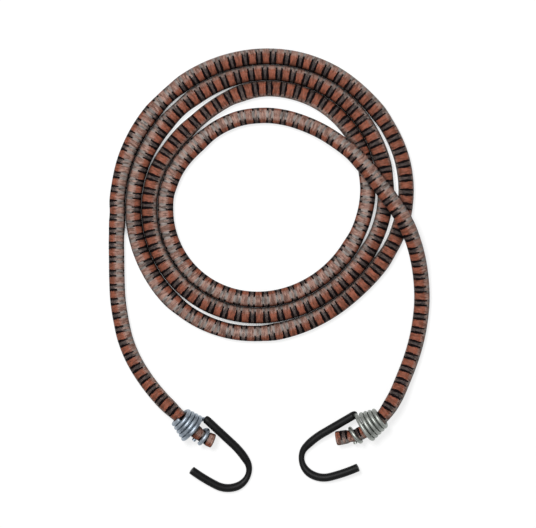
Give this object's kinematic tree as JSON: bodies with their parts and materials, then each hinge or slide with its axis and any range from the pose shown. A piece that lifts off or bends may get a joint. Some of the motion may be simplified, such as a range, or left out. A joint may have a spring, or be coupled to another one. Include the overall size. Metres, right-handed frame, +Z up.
{
  "type": "bungee cord",
  "caption": "Coiled elastic bungee cord: braided sheath over rubber strands, with a sprung, vinyl-sleeved wire hook clipped on at each end.",
  "frame": {"origin": "on the floor under the middle of the whole cord as it lies", "axes": "+Z up from the floor, +Y from the hooks towards the far side of the coil, +X to the right with the hooks nearest"},
  "size_m": [0.2126, 0.2949, 0.0207],
  "materials": {
    "braided_sheath": "tight braid of orange, black and grey yarn",
    "rubber_strand": "natural rubber, matt",
    "zinc_wire": "bright zinc plate",
    "black_vinyl": "satin black vinyl"
  },
  "bodies": {
    "coil": {"sheath_coil": "braided_sheath", "strand_1_coil": "rubber_strand", "strand_2_coil": "rubber_strand", "strand_3_coil": "rubber_strand", "strand_4_coil": "rubber_strand", "strand_5_coil": "rubber_strand", "strand_6_coil": "rubber_strand", "strand_7_coil": "rubber_strand"},
    "left_end": {"sheath_left_tail": "braided_sheath", "strand_1_left_tail": "rubber_strand", "strand_2_left_tail": "rubber_strand", "strand_3_left_tail": "rubber_strand", "strand_4_left_tail": "rubber_strand", "strand_5_left_tail": "rubber_strand", "strand_6_left_tail": "rubber_strand", "strand_7_left_tail": "rubber_strand", "sheath_left_stub": "braided_sheath", "strand_1_left_stub": "rubber_strand", "strand_2_left_stub": "rubber_strand", "strand_3_left_stub": "rubber_strand", "strand_4_left_stub": "rubber_strand", "strand_5_left_stub": "rubber_strand", "strand_6_left_stub": "rubber_strand", "strand_7_left_stub": "rubber_strand", "clip_left": "zinc_wire"},
    "left_hook": {"hook_wire_left": "zinc_wire", "hook_sleeve_left": "black_vinyl"},
    "right_end": {"sheath_right_tail": "braided_sheath", "strand_1_right_tail": "rubber_strand", "strand_2_right_tail": "rubber_strand", "strand_3_right_tail": "rubber_strand", "strand_4_right_tail": "rubber_strand", "strand_5_right_tail": "rubber_strand", "strand_6_right_tail": "rubber_strand", "strand_7_right_tail": "rubber_strand", "sheath_right_stub": "braided_sheath", "strand_1_right_stub": "rubber_strand", "strand_2_right_stub": "rubber_strand", "strand_3_right_stub": "rubber_strand", "strand_4_right_stub": "rubber_strand", "strand_5_right_stub": "rubber_strand", "strand_6_right_stub": "rubber_strand", "strand_7_right_stub": "rubber_strand", "clip_right": "zinc_wire"},
    "right_hook": {"hook_wire_right": "zinc_wire", "hook_sleeve_right": "black_vinyl"}
  },
  "joints": [
    {"name": "left_stretch", "type": "slide", "parent": "coil", "child": "left_end", "axis": [0, -1, 0], "range_m": [0, 0.11], "stiffness_N_per_m": 1300, "deforming": ["sheath_left_tail", "strand_1_left_tail", "strand_2_left_tail", "strand_3_left_tail", "strand_4_left_tail", "strand_5_left_tail", "strand_6_left_tail", "strand_7_left_tail"]},
    {"name": "left_swivel", "type": "hinge", "parent": "left_end", "child": "left_hook", "pos_m": [-0.0589, -0.0975, 0.01274], "axis": [-0.7157, 0.6792, 0.1627], "continuous": true},
    {"name": "right_stretch", "type": "slide", "parent": "coil", "child": "right_end", "axis": [0, -1, 0], "range_m": [0, 0.25], "stiffness_N_per_m": 570, "deforming": ["sheath_right_tail", "strand_1_right_tail", "strand_2_right_tail", "strand_3_right_tail", "strand_4_right_tail", "strand_5_right_tail", "strand_6_right_tail", "strand_7_right_tail"]},
    {"name": "right_swivel", "type": "hinge", "parent": "right_end", "child": "right_hook", "pos_m": [0.0749, -0.0982, 0.01274], "axis": [-0.8458, -0.5082, -0.1627], "continuous": true}
  ]
}
